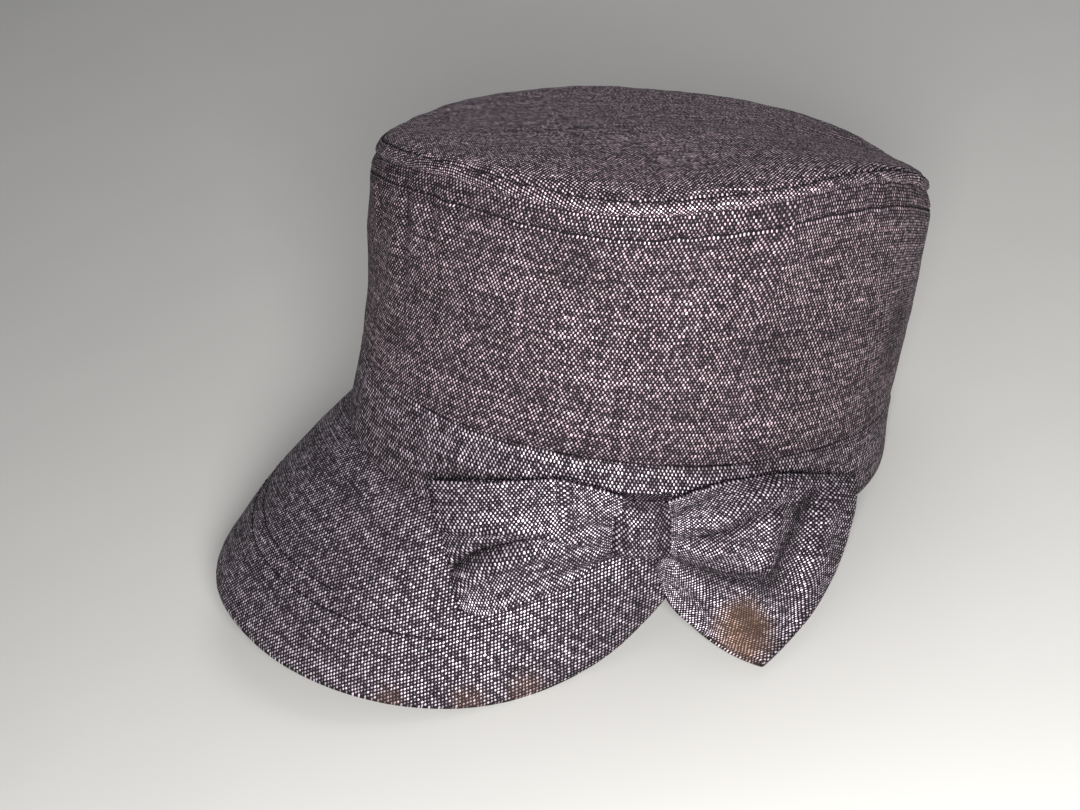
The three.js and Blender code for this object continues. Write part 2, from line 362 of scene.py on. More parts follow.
def creaseLift(across, up, crease, scale=(1, 1)):
    # a ridge (lift above 0) or valley along a path; spread is to its left and, second, its right
    path = smoothLine(np.array(crease["path"], float) * scale, 6 * len(crease["path"]))
    near = np.full(across.shape, 1e6)
    share = np.zeros(across.shape)
    side = np.ones(across.shape)
    for place, (start, end) in enumerate(zip(path[:-1], path[1:])):
        step = end - start
        t = ((across - start[0]) * step[0] + (up - start[1]) * step[1]) / max(step @ step, 1e-9)
        t = np.clip(t, 0, 1)
        dx, dy = across - start[0] - t * step[0], up - start[1] - t * step[1]
        distance = np.hypot(dx, dy)
        closer = distance < near
        near = np.where(closer, distance, near)
        share = np.where(closer, (place + t) / (len(path) - 1), share)
        side = np.where(closer, step[0] * dy - step[1] * dx, side)
    lifts = crease["lift"]
    height = np.interp(share, np.linspace(0, 1, len(lifts)), lifts)
    spread = np.where(side > 0, crease["spread"][0], crease["spread"][-1])
    return height * bell(near, spread)


def creases(across, up, table, scale=(1, 1)):
    return sum(creaseLift(across, up, crease, scale) for crease in table)


class Value:  # a socket that can be used in sums
    def __init__(self, shader, socket):
        self.shader, self.socket = shader, socket

    def math(self, operation, *others, swap=False):
        values = [*others, self] if swap else [self, *others]
        return self.shader.add(
            "ShaderNodeMath", {"operation": operation}, dict(enumerate(values))
        )

    def __add__(self, other):
        return self.math("ADD", other)

    def __sub__(self, other):
        return self.math("SUBTRACT", other)

    def __mul__(self, other):
        return self.math("MULTIPLY", other)

    def __rsub__(self, other):
        return self.math("SUBTRACT", other, swap=True)

    __radd__, __rmul__ = __add__, __mul__


class Shader:  # one material's nodes
    def __init__(self, name):
        self.material = bpy.data.materials.new(name)
        self.material.use_nodes = True
        self.tree = self.material.node_tree
        self.cloth = next(node for node in self.tree.nodes if node.type == "BSDF_PRINCIPLED")

    def add(self, kind, settings=None, values=None, output=0):
        node = self.tree.nodes.new(kind)
        for setting, value in (settings or {}).items():
            if setting == "stops":
                self.setStops(node, value)
            else:
                setattr(node, setting, value)
        for name, value in (values or {}).items():
            self.plug(node.inputs[name], value)
        return Value(self, node.outputs[output])

    def plug(self, socket, value):
        if isinstance(value, Value):
            self.tree.links.new(value.socket, socket)
        else:
            socket.default_value = value

    def setStops(self, node, stops):
        elements = node.color_ramp.elements
        while len(elements) < len(stops):
            elements.new(0.5)
        for element, (place, colour) in zip(elements, stops):
            element.position, element.color = place, (*colour, 1)

    def sweep(self, value, low, high, to=(0, 1)):  # a soft step between two values
        return self.add(
            "ShaderNodeMapRange",
            {"interpolation_type": "SMOOTHSTEP"},
            {0: value, 1: low, 2: high, 3: to[0], 4: to[1]},
        )

    def noise(self, place, scale, detail=2.0, rough=0.5):
        values = {"Vector": place, "Scale": scale, "Detail": detail, "Roughness": rough}
        return self.add("ShaderNodeTexNoise", {}, values)

    def objectPlace(self):
        return self.add("ShaderNodeTexCoord", output=3)

    def grey(self, value):
        return self.add("ShaderNodeCombineColor", {}, {0: value, 1: value, 2: value})

    def bump(self, height, strength, distance):
        values = {"Strength": strength, "Distance": distance, "Height": height}
        self.plug(self.cloth.inputs["Normal"], self.add("ShaderNodeBump", {}, values))

    def tint(self, share, first, second, blend="MIX"):
        return self.add(
            "ShaderNodeMix",
            {"data_type": "RGBA", "blend_type": blend},
            {"Factor": share, 6: first, 7: second},
            output=2,
        )

    def pair(self, x, y, z=0.0):
        return self.add("ShaderNodeCombineXYZ", {}, {0: x, 1: y, 2: z})


linenLook = {
    "pale": (0.46, 0.35, 0.39),  # threads that run round the cap
    "cool": (0.42, 0.365, 0.415),  # the same threads on the band, visor and bow
    "dark": (0.0085, 0.006, 0.0078),  # threads that cross them
    "rubbed": (0.19, 0.118, 0.088),
    "rubbedDark": (0.036, 0.021, 0.016),
    "slubs": 0.35,  # how much brighter a thick stretch is
    "contrast": 1.15,  # between one crossing of threads and the next
    "unevenness": 0.55,  # of a thread's place, as a share of its width
    "gloss": 0.6,  # how metallic the pale threads are
    "roughness": 0.47,  # of the pale threads
    "darkRoughness": 0.8,
    "specular": 0.1,
    "bumpStrength": 0.45,
    "bumpDepth": 0.00022,
}
# millimetres between the pale and between the dark threads, their turn in degrees,
# how cool the pale ones look and how bright: the top's are painted a third lighter than the same
# linen elsewhere, as painted light, and the knot's a little darker
weaves = {
    "wall": (0.81, 0.63, 0, 0, 1),
    "top": (0.84, 0.63, -75, 0.1, 1.35),
    "band": (0.83, 0.63, 1, 0.6, 1),
    "visor": (0.95, 0.64, -3, 0.9, 1),
    "loop": (0.85, 0.64, 2, 0.9, 1),
    "knot": (0.85, 0.64, 0, 0.9, 0.85),
}


def linen(name, weave, wear=()):
    look = linenLook
    s = Shader(name)
    laid = s.add("ShaderNodeUVMap", {"uv_map": "threads"})
    flat = s.add("ShaderNodeSeparateXYZ", {}, {0: laid})
    x, y = flat, Value(s, flat.socket.node.outputs[1])
    palePitch, darkPitch, turn, coolness, strength = weave
    if turn:
        c, d = math.cos(math.radians(turn)), math.sin(math.radians(turn))
        x, y = x * c - y * d, x * d + y * c
    place = s.objectPlace()

    # threads wander a little from their straight lines
    drift = s.noise(place, 210.0, 2.0, 0.6) - 0.5
    sway = s.noise(place, 40.0, 1.0) - 0.5
    across = x * (1000 / darkPitch) + drift * 0.7 + sway * 0.6
    up = y * (1000 / palePitch) + drift * 0.4 - sway * 0.5
    column, row = across.math("ROUND"), up.math("ROUND")
    # and each one has its own uneven run
    sideways = s.noise(s.pair(column * 0.37, y * 110.0), 1.0, 1.0) - 0.5
    upward = s.noise(s.pair(x * 110.0, row * 0.37, 9.0), 1.0, 1.0) - 0.5
    across = across + sideways * look["unevenness"]
    up = up + upward * look["unevenness"]

    # plain weave: pale threads lie on top where the lobes are positive
    lobe = (across * math.pi).math("COSINE") * (up * math.pi).math("COSINE")
    rowLuck, columnLuck, crossLuck = (
        s.add("ShaderNodeTexWhiteNoise", {"noise_dimensions": "2D"}, {"Vector": s.pair(*pair)})
        for pair in ((row, 3.0), (column, 7.0), (column, row))
    )
    # slubs are thick stretches of single pale threads, and between them the thread runs thin
    slub = s.sweep(s.noise(s.pair(across * 0.09, row * 4.7), 1.0, 1.0), 0.6, 0.78)
    thin = s.sweep(s.noise(s.pair(across * 0.07, row * 3.1, 5.0), 1.0, 2.0), 0.34, 0.52)
    size = lobe + slub * 0.3 + (crossLuck - 0.5) * 0.42 + (rowLuck - 0.5) * 0.1 + (thin - 1) * 0.05
    thread = s.sweep(size, 0.24, 0.68)
    fuzz = s.noise(place, 2600.0, 2.0, 0.7)
    patches = s.noise(place, 22.0, 4.0, 0.6)

    bright = 0.34 + rowLuck * 0.16 + crossLuck * look["contrast"] + slub * look["slubs"]
    bright = bright + (thin - 1) * 0.12
    # painted light: a strength above 1 (the top) makes a piece's pale threads lighter than the
    # linen's own colour
    bright = bright * (0.5 + fuzz) * (0.8 + patches * 0.4) * strength

    # painted shade: sunk places (seam grooves, stitch lines, crease valleys) get a darker colour in
    # place of their shadow; raised places are made a quarter lighter
    relief = s.add("ShaderNodeAttribute", {"attribute_name": "relief"}, {}, output=2)
    raised = s.sweep(relief, 0.4, 2.4)
    sunkShade = s.sweep(relief, -0.1, -1.3)
    bright = bright * (1 + raised * 0.25) * (1 - sunkShade * 0.6)

    hue = [mix(a, b, coolness) for a, b in zip(look["pale"], look["cool"])]
    pale = s.tint(s.sweep(rowLuck, 0.2, 0.9), (*[0.75 * part for part in hue], 1), (*hue, 1))
    pale = s.tint(1.0, pale, s.grey(bright), "MULTIPLY")
    # the dark threads get the same painted shade in sunk places
    tone = (0.5 + columnLuck * 1.1) * (1 - sunkShade * 0.4)
    dark = s.tint(1.0, (*look["dark"], 1), s.grey(tone), "MULTIPLY")
    colour = s.tint(thread, dark, pale)

    # faded, brownish rubbed places
    for patch in wear:
        centre = tuple(float(value) for value in onFloor(patch["centre"]))
        reach = s.add(
            "ShaderNodeVectorMath", {"operation": "DISTANCE"}, {0: place, 1: centre}, output=1
        )
        reach = reach * 1000 + (s.noise(place, 90.0, 3.0, 0.6) - 0.5) * patch["ragged"]
        share = s.sweep(reach, patch["radius"], patch["radius"] * patch["soft"])
        share = share * patch["strength"]
        brown = s.tint(1.0, (*look["rubbed"], 1), s.grey(0.45 + bright * 0.6), "MULTIPLY")
        brown = s.tint(thread, (*look["rubbedDark"], 1), brown)
        colour = s.tint(share, colour, brown)

    s.plug(s.cloth.inputs["Base Color"], colour)
    s.plug(s.cloth.inputs["Metallic"], thread * look["gloss"])
    smoother = look["darkRoughness"] - look["roughness"]
    rough = look["darkRoughness"] - thread * smoother + (fuzz - 0.5) * 0.16
    s.plug(s.cloth.inputs["Roughness"], rough)
    s.cloth.inputs["Specular IOR Level"].default_value = look["specular"]
    height = lobe.math("ABSOLUTE") * 0.6 + thread * 0.5 + slub * 0.2 + fuzz * 0.3
    s.bump(height, look["bumpStrength"], look["bumpDepth"])
    return s.material


sewingLook = {
    "dark": (0.003, 0.0025, 0.003),
    "light": (0.014, 0.011, 0.013),
    "specular": 0.08,
    "bumpStrength": 0.5,
    "bumpDepth": 0.0001,
}


def sewingThread(name, look):
    s = Shader(name)
    place = s.objectPlace()
    twist = s.noise(place, 1900.0, 2.0, 0.6)
    colour = s.tint(twist, (*look["dark"], 1), (*look["light"], 1))
    s.plug(s.cloth.inputs["Base Color"], colour)
    s.plug(s.cloth.inputs["Roughness"], 0.7 + twist * 0.2)
    s.cloth.inputs["Specular IOR Level"].default_value = look["specular"]
    s.bump(twist, look["bumpStrength"], look["bumpDepth"])
    return s.material


darkThread = sewingThread("darkSewingThread", sewingLook)
stitchLook = {"length": 2.5, "pitch": 3.1, "width": 0.85, "sink": 0.05, "sides": 6, "rings": 5}


def stitchRow(name, line, normals, look=stitchLook):
    # a row of short threads along a line on the cloth, in millimetres
    lengths = lengthsAlong(line)
    count = int(lengths[-1] / look["pitch"])
    vertices, faces = [], []
    sides = look["sides"]
    turns = np.linspace(0, 2 * math.pi, sides, endpoint=False)
    dice = np.random.default_rng(len(name))
    for number in range(count):
        start = (number + 0.1 + dice.uniform(-0.05, 0.05)) * look["pitch"]
        places = start + look["length"] * np.linspace(0, 1, look["rings"])
        centres, up = pointsAt(places, lengths, line), pointsAt(places, lengths, normals)
        along = centres[-1] - centres[0]
        along /= max(np.linalg.norm(along), 1e-9)
        side = np.cross(up, along)
        swell = np.sin(np.linspace(0.12, 0.88, look["rings"]) * math.pi) ** 0.5
        lifted = centres + up * (look["width"] * 0.5 * (swell - 0.75) - look["sink"])[:, None]
        first = len(vertices)
        for ring in range(look["rings"]):
            for turn in turns:
                reach = side[ring] * math.cos(turn) + up[ring] * math.sin(turn) * 0.8
                vertices.append(lifted[ring] + reach * look["width"] / 2 * swell[ring])
        for ring in range(look["rings"] - 1):
            for k in range(sides):
                a, b = first + ring * sides + k, first + ring * sides + (k + 1) % sides
                faces.append([a, b, b + sides, a + sides])
        last = first + (look["rings"] - 1) * sides
        faces.append([first + k for k in range(sides)][::-1])
        faces.append([last + k for k in range(sides)])
    piece = addObject(name, smoothMesh(name, np.array(vertices), faces))
    piece.data.materials.append(darkThread)
    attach(piece, "root")
    print(name, "has", count, "stitches")
    return piece


def ringStitches(name, outer, fromSeam, distance):  # a row all round, beside a seam
    row = int(np.argmin(np.abs(fromSeam - distance)))
    line, facing = outer[row], surfaceNormals(outer, True)[row]
    return stitchRow(name, np.vstack([line, line[:1]]), np.vstack([facing, facing[:1]]))


def seamRelief(cloth, fromSeam, ripple):
    # the padded turning beside a seam, with its groove, its sunk stitches and its puckers
    row = cloth["stitchFromSeam"]
    pad = ease(0.4, cloth["padReach"], fromSeam) * (1 - ease(row - 1.6, row - 0.2, fromSeam))
    grooves = cloth["seamDepth"] * bell(fromSeam, 0.8)
    grooves = grooves + cloth["stitchDepth"] * bell(fromSeam - row, 0.75)
    puckers = cloth["puckers"] * ripple * bell(fromSeam - row * 0.8, cloth["puckerReach"])
    return cloth["padHeight"] * pad - grooves + puckers


def dress(piece, material, node):
    piece.data.materials.append(material)
    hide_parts(node)
    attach(piece, "root")
    return piece


wallCloth = {
    "thickness": 1.5,
    "hemThickness": 0.5,
    "middleHeight": 62,
    "columnGap": 1.55,
    "rowGap": 1.6,
    "hemRowGap": 0.6,
    "seamRowGap": 0.5,
    "threadStart": 31,
    "stitchFromSeam": 5.8,
    "stitchDepth": 0.5,
    "seamDepth": 0.5,
    "padHeight": 0.15,
    "padReach": 2.4,
    "puckers": 0.24,
    "puckerReach": 7,
    "hemDepth": 0.35,
    "shoulder": 2.1,
    "shoulderReach": 4.6,
    "wave": 0.32,
    "waveSize": 46,
    "crinkle": 0.06,
    "crinkleSize": 11,
    # paths are angle round the cap and height; lifts in millimetres
    "creases": [
        {"path": [(-83, 98), (-79, 84), (-77, 64), (-76, 50)],
         "lift": [-0.5, -1.3, -0.9, 0], "spread": [2.4]},
        {"path": [(-79, 98), (-76, 88), (-74, 72)], "lift": [0.5, 0.8, 0], "spread": [2]},
        {"path": [(-96, 97), (-92, 84), (-90, 66)], "lift": [-0.5, -1.0, 0], "spread": [2.2]},
        {"path": [(-65, 98), (-63, 91), (-60, 84)], "lift": [-0.4, -0.7, 0], "spread": [1.6]},
        {"path": [(-86, 92), (-83, 75), (-82, 58)], "lift": [0, 0.8, 0], "spread": [3]},
        {"path": [(-73, 96), (-69, 84), (-66, 72)], "lift": [-0.5, -1.1, 0], "spread": [2]},
        {"path": [(-70, 95), (-66.5, 84), (-63.5, 72)], "lift": [0.2, 0.9, 0], "spread": [2.4]},
        {"path": [(-60, 93), (-56, 80), (-55, 66)], "lift": [-0.2, -0.7, 0], "spread": [9]},
        {"path": [(-20, 36), (5, 33), (24, 36)], "lift": [0, 0.7, 0], "spread": [6]},
        {"path": [(12, 92), (-4, 78), (-18, 60), (-26, 46)],
         "lift": [0.2, 1.0, 1.0, 0], "spread": [13, 6]},
        {"path": [(30, 84), (38, 62), (36, 44)], "lift": [0, -0.9, 0], "spread": [7]},
        {"path": [(70, 88), (78, 60), (74, 40)], "lift": [0, 1.0, 0], "spread": [10]},
        {"path": [(128, 92), (118, 66), (122, 44)], "lift": [0, -1.2, 0], "spread": [9]},
        {"path": [(172, 84), (180, 60), (176, 40)], "lift": [0, 1.1, 0], "spread": [8]},
        {"path": [(222, 88), (214, 62), (219, 44)], "lift": [0, -1.3, 0], "spread": [9]},
        {"path": [(246, 90), (250, 72), (247, 52)], "lift": [0, 0.9, 0], "spread": [5]},
    ],
}


def crownCreases(degreesRound, height, table):
    total = np.zeros(np.broadcast(degreesRound, height).shape)
    for crease in table:
        centre = crease["path"][0][0]
        turned = [(angle - centre, level) for angle, level in crease["path"]]
        near = roundDistance(degreesRound, centre) * perDegree
        total = total + creaseLift(near, height, {**crease, "path": turned}, (perDegree, 1))
    return total


def makeWall(cloth):
    bottom, top = capShape["bandHeight"] + 0.05, capShape["crownHeight"]
    nearHem, nearSeam = capShape["bandHeight"] + 4, capShape["crownHeight"] - 9
    heights = steps(
        (bottom, nearHem, cloth["hemRowGap"]),
        (nearHem, nearSeam, cloth["rowGap"]),
        (nearSeam, top, cloth["seamRowGap"]),
    )
    angles, around = evenly(
        lambda a: crownPoint(cloth["middleHeight"], a), 90, 450, cloth["columnGap"]
    )
    level, angle = heights[:, None], angles[None, :-1]
    base = crownPoint(level, angle)
    normals = surfaceNormals(base, True)
    below, above = top - level, level - bottom
    ripple = wander(base * [1, 1, 0.35], 9, 3)
    relief = seamRelief(cloth, below, ripple)
    relief = relief - cloth["hemDepth"] * bell(above, 0.8)
    relief = relief + cloth["puckers"] / 2 * ripple * bell(above, 5)
    relief = relief + crownCreases(angle, level, cloth["creases"]) * ease(0, 5, above)
    waves = wander(base, cloth["waveSize"], 11) * ease(0, 12, above) * ease(0, 8, below)
    relief = relief + cloth["wave"] * waves
    relief = relief + cloth["crinkle"] * wander(base, cloth["crinkleSize"], 12)
    # the rounded shoulder is left out of the relief, so that the material doesn't paint a valley's
    # shade on it
    shoulder = cloth["shoulder"] * bell(below, cloth["shoulderReach"])
    outer = base + normals * (relief - shoulder)[..., None]
    risen = lengthsAlong(base[:, 0])[:, None] + cloth["threadStart"]
    threads = np.stack(np.broadcast_arrays(around[None, :], risen), axis=-1)
    thinning = ease(0, 4, below) * ease(0, 3, above)
    thickness = mix(cloth["hemThickness"], cloth["thickness"], thinning)
    wall = clothPiece("crownWall", outer, thickness, threads, True, relief)
    stitches = ringStitches("wallTopStitches", outer, below[:, 0], cloth["stitchFromSeam"])
    return wall, stitches


wall, wallStitches = makeWall(wallCloth)
dress(wall, linen("wallLinen", weaves["wall"]), "crown_side")

topCloth = {
    "thickness": 1.5,
    "hemThickness": 0.5,
    "meanReach": 91,
    "columnGap": 1.6,
    "rowGap": 2.2,
    "edgeRowGap": 1.1,
    "seamRowGap": 0.5,
    "stitchFromSeam": 6.2,
    "stitchDepth": 0.5,
    "seamDepth": 0.4,
    "padHeight": 0.12,
    "padReach": 2.2,
    "puckers": 0.2,
    "puckerReach": 6,
    "shoulder": 2.1,
    "shoulderReach": 4.6,
    "wave": 0.3,
    "waveSize": 40,
    "crinkle": 0.05,
    "crinkleSize": 10,
    "dents": [
        {"at": (20, -48), "reach": 24, "lift": -1.4},
        {"at": (38, 20), "reach": 26, "lift": 0.9},
        {"at": (-30, 10), "reach": 34, "lift": -1.2},
        {"at": (0, 58), "reach": 22, "lift": 0.7},
        {"at": (24, -76), "reach": 9, "lift": -0.8},
    ],
}


def makeTop(cloth):
    dense = np.linspace(0, 1, 4001)[::-1]
    rise = capShape["topDome"] * np.sqrt(1 - dense ** capShape["topRoundness"])
    strides = np.hypot(np.diff(dense) * cloth["meanReach"], np.diff(rise))
    walked = np.concatenate([[0], np.cumsum(strides)])
    # rows from the seam to a small ring round the middle
    pastStitches, pastShoulder, ring = 9, 20, walked[-1] - 0.8
    inward = steps(
        (0, pastStitches, cloth["seamRowGap"]),
        (pastStitches, pastShoulder, cloth["edgeRowGap"]),
        (pastShoulder, ring, cloth["rowGap"]),
    )
    shares = np.interp(inward, walked, dense)
    angles, _ = evenly(
        lambda a: crownPoint(capShape["crownHeight"], a), 90, 450, cloth["columnGap"]
    )
    share, angle, walk = shares[:, None], angles[None, :-1], inward[:, None]
    base = topPoint(share, angle)
    normals = surfaceNormals(base, True)
    relief = seamRelief(cloth, walk, wander(base, 8, 21))
    # the large forms are left out of the relief, so that the material doesn't paint valley shade on
    # them
    form = cloth["wave"] * wander(base, cloth["waveSize"], 22) * ease(0, 10, walk)
    form = form - cloth["shoulder"] * bell(walk, cloth["shoulderReach"])
    for dent in cloth["dents"]:
        reach = np.hypot(base[..., 0] - dent["at"][0], base[..., 1] - dent["at"][1])
        form = form + dent["lift"] * bell(reach, dent["reach"]) * ease(0, 8, walk)
    relief = relief + cloth["crinkle"] * wander(base, cloth["crinkleSize"], 23)
    outer = base + normals * (relief + form)[..., None]
    flat = base[..., :2] - [capShape["topShift"], 0]
    stretch = (walked[-1] - walk) / (cloth["meanReach"] * np.maximum(share, 0.005))
    flat = flat * stretch[..., None]
    threads = np.concatenate([flat, flat[:, :1]], axis=1)
    thickness = mix(cloth["hemThickness"], cloth["thickness"], ease(0, 4, walk))
    top = clothPiece("crownTopPanel", outer, thickness, threads, True, relief)
    stitches = ringStitches("topPanelStitches", outer, inward, cloth["stitchFromSeam"])
    return top, stitches


topPanel, topStitches = makeTop(topCloth)
dress(topPanel, linen("topLinen", weaves["top"]), "crown_top")

bandCloth = {
    "thickness": 1.6,
    "hemThickness": 0.6,
    "middleHeight": 12,
    "columnGap": 1.55,
    "rowGap": 1.2,
    "hemRowGap": 0.7,
    "seamRowGap": 0.5,
    "padHeight": 0.15,
    "seamDepth": 0.45,
    "turningFromSeam": 2.2,
    "turningDepth": 0.25,
    "puckers": 0.16,
    "hemDepth": 0.3,
    "wave": 0.25,
    "waveSize": 30,
    "creases": [
        {"path": [(-56, 18), (-50, 17.5), (-44, 16)], "lift": [0, -0.8, 0], "spread": [1.5]},
        {"path": [(-57, 21), (-53, 21), (-48, 19)], "lift": [0, 0.9, 0], "spread": [2.2]},
        {"path": [(-13, 14), (-6, 18), (2, 22)], "lift": [0.6, 1.4, 0.2], "spread": [2.0, 3.0]},
        {"path": [(-12, 11), (-3, 15), (8, 19)], "lift": [-0.5, -0.9, 0], "spread": [1.8]},
        {"path": [(18, 20), (30, 17), (44, 18)], "lift": [0, -0.6, 0], "spread": [3]},
        {"path": [(90, 15), (120, 12), (150, 16)], "lift": [0, 0.5, 0], "spread": [5]},
        {"path": [(200, 12), (220, 15), (236, 11)], "lift": [0, -0.6, 0], "spread": [4]},
    ],
}


def makeBand(cloth):
    top = capShape["bandHeight"] - capShape["seamGap"]
    nearHem, nearSeam = 3, capShape["bandHeight"] - 4
    heights = steps(
        (0, nearHem, cloth["hemRowGap"]),
        (nearHem, nearSeam, cloth["rowGap"]),
        (nearSeam, top, cloth["seamRowGap"]),
    )
    angles, around = evenly(
        lambda a: crownPoint(cloth["middleHeight"], a), 90, 450, cloth["columnGap"]
    )
    level, angle = heights[:, None], angles[None, :-1]
    base = crownPoint(level, angle)
    normals = surfaceNormals(base, True)
    below = top - level
    ripple = wander(base * [1, 1, 0.5], 8, 31)
    relief = cloth["padHeight"] * ease(0.2, 1.8, below) - cloth["seamDepth"] * bell(below, 0.7)
    relief = relief - cloth["turningDepth"] * bell(below - cloth["turningFromSeam"], 0.5)
    relief = relief + cloth["puckers"] * ripple * bell(below - 2, 4)
    relief = relief + crownCreases(angle, level, cloth["creases"])
    waves = wander(base, cloth["waveSize"], 32) * ease(0, 5, below) * ease(0, 5, level)
    relief = relief + cloth["wave"] * waves - cloth["hemDepth"] * bell(level, 1.0)
    outer = base + normals * relief[..., None]
    risen = lengthsAlong(base[:, 0])[:, None]
    threads = np.stack(np.broadcast_arrays(around[None, :], risen), axis=-1)
    thickness = mix(cloth["hemThickness"], cloth["thickness"], ease(0, 3, below))
    return clothPiece("headBand", outer, thickness, threads, True, relief)


band = makeBand(bandCloth)
dress(band, linen("bandLinen", weaves["band"]), "head_band")

visorCloth = {
    "stitchFromEdge": [22.5, 29],
    "stitchReach": [(-0.86, 0.52), (-0.66, 0.28)],  # where the rows still show, of -1 to 1
    "stitchDepth": 0.45,
    "puckers": 0.12,
    "columnGap": 1.5,
    "rows": 52,
    "edgePad": 0.2,
    "wave": 0.18,
    "waveSize": 34,
    "crinkle": 0.05,
    "crinkleSize": 11,
    "wear": [
        {"centre": (69, -103, -56), "radius": 9, "soft": 0.2, "strength": 0.5, "ragged": 9},
        {"centre": (80, -80, -52), "radius": 9, "soft": 0.2, "strength": 0.55, "ragged": 9},
        {"centre": (84.5, -63, -47), "radius": 9, "soft": 0.2, "strength": 0.5, "ragged": 8},
    ],
}


def makeVisor(cloth):
    across, _ = evenly(lambda a: visorPoint(a, 0.75), -1, 1, cloth["columnGap"])
    along = np.linspace(0, 1, cloth["rows"])
    side, down = across[None, :], along[::-1, None]
    base = visorPoint(side, down)
    normals = surfaceNormals(base, False)
    length, _ = visorSpread(side)
    fromEdge = (1 - down) * length
    relief = cloth["wave"] * wander(base, cloth["waveSize"], 41)
    relief = relief + cloth["crinkle"] * wander(base, cloth["crinkleSize"], 42)
    relief = relief + cloth["edgePad"] * ease(0, 1.5, fromEdge) * (1 - ease(4, 6, fromEdge))
    for distance, reach in zip(cloth["stitchFromEdge"], cloth["stitchReach"]):
        start, end = reach
        fade = ease(start - 0.03, start + 0.05, side) * (1 - ease(end - 0.05, end + 0.03, side))
        puckers = cloth["puckers"] * wander(base, 7, 43) * bell(fromEdge - distance, 4)
        groove = cloth["stitchDepth"] * bell(fromEdge - distance, 0.7)
        relief = relief + (puckers - groove) * fade
    outer = base + normals * relief[..., None]
    # the visor laid flat, so that its threads run straight across the front
    seam = visorPoint(across, 0)
    stride = np.linalg.norm(np.diff(seam, axis=0), axis=1)
    _, slope = visorSpread(across)
    bend = np.radians(visorShape["reach"]) * np.diff(across) * np.cos(slope[:-1])
    heading = np.concatenate([[0], np.cumsum(bend)])
    heading -= np.interp(0, across, heading)
    ahead = np.stack([np.cos(heading), np.sin(heading)], axis=-1)
    laid = np.vstack([[0, 0], np.cumsum(ahead[:-1] * stride[:, None], axis=0)])
    outward = np.stack([ahead[:, 1], -ahead[:, 0]], axis=-1)
    threads = laid[None] + outward[None] * (down * length)[..., None]
    visor = clothPiece("visorCloth", outer, visorShape["thickness"], threads, False, relief)
    facing = surfaceNormals(outer, False)
    rows = []
    for number, (distance, reach) in enumerate(zip(cloth["stitchFromEdge"], cloth["stitchReach"])):
        chosen = np.flatnonzero((across > reach[0]) & (across < reach[1]))
        line, upward = [], []
        for column in chosen:
            profile = fromEdge[:, column]
            line.append(pointsAt(distance, profile, outer[:, column]))
            upward.append(pointsAt(distance, profile, facing[:, column]))
        rows.append(stitchRow(f"visorStitches{number + 1}", np.array(line), np.array(upward)))
    return visor, rows


visor, visorStitches = makeVisor(visorCloth)
dress(visor, linen("visorLinen", weaves["visor"], visorCloth["wear"]), "visor")

bowPlace = {"angle": -15, "cloth": 1.1}
knotTurn = math.radians(bowPlace["angle"])
knotOut = np.array([math.cos(knotTurn), math.sin(knotTurn), 0])
knotAlong = np.array([-knotOut[1], knotOut[0], 0])
knotBase = crownPoint(0, bowPlace["angle"])


def bowPoint(measured):  # along the band, up and out from the knot's place on the opening
    measured = np.asarray(measured, float)
    along, up, out = measured[..., 0:1], measured[..., 1:2], measured[..., 2:3]
    return knotBase + knotAlong * along + np.array([0, 0, 1.0]) * up + knotOut * out


# each station is a rib of the loop from the knot to its outer fold
frontLoop = {
    "name": "bowFrontLoop",
    "node": "bow_front_loop",
    "stations": [
        {"bottom": (-12.5, 0, 3.0), "middle": (-12.5, 9, 3.5),
         "top": (-12.5, 18.5, 1.5), "depth": 2.5},
        {"bottom": (-27, -11, 4.0), "middle": (-29, 6, 2.0), "top": (-29.5, 21, -3.5), "depth": 5},
        {"bottom": (-41.5, -18.5, 4.2), "middle": (-43.5, 1.5, 0),
         "top": (-45.5, 18.3, -7.2), "depth": 5},
        {"bottom": (-52, -22.8, 3.4), "middle": (-55.5, -3, -4.5),
         "top": (-58, 15.2, -11.8), "depth": 4.5},
        {"bottom": (-59.6, -22.8, 1.2), "middle": (-65.0, -6, -10.5),
         "top": (-70, 11.2, -19.4), "depth": 3.5},
    ],
    "creases": [
        {"path": [(-71, -3.5), (-55, 2.5), (-42, 5.2), (-30, 4.8), (-16, 2.5)],
         "lift": [2.4, 2.8, 2.2, 1.4, 0.4], "spread": [8, 1.0]},
        {"path": [(-66, -17), (-57, -6), (-47, 0), (-39, 3), (-31, 2.5)],
         "lift": [-2.6, -3.0, -2.6, -1.6, 0], "spread": [1.2, 2.4]},
        {"path": [(-64, -21), (-54, -10.5), (-44, -3.6), (-34, 0), (-24, 0)],
         "lift": [1.4, 2.0, 2.0, 1.4, 0], "spread": [5, 2.0]},
        {"path": [(-30, 23), (-30, 14), (-29, 6)], "lift": [1.8, 2.0, 0.5], "spread": [1.6, 6]},
        {"path": [(-32.5, 22), (-32.5, 14), (-31.5, 7)], "lift": [-0.9, -1.0, 0], "spread": [1.4]},
        {"path": [(-15, -2), (-22, -5), (-32, -9)], "lift": [-1.2, -1.4, 0], "spread": [1.6]},
        {"path": [(-15, 1), (-22, -1), (-30, -4)], "lift": [0.6, 1.0, 0], "spread": [1.8]},
        {"path": [(-15, 8), (-22, 10), (-28, 12)], "lift": [-0.8, -0.8, 0], "spread": [1.6]},
    ],
}
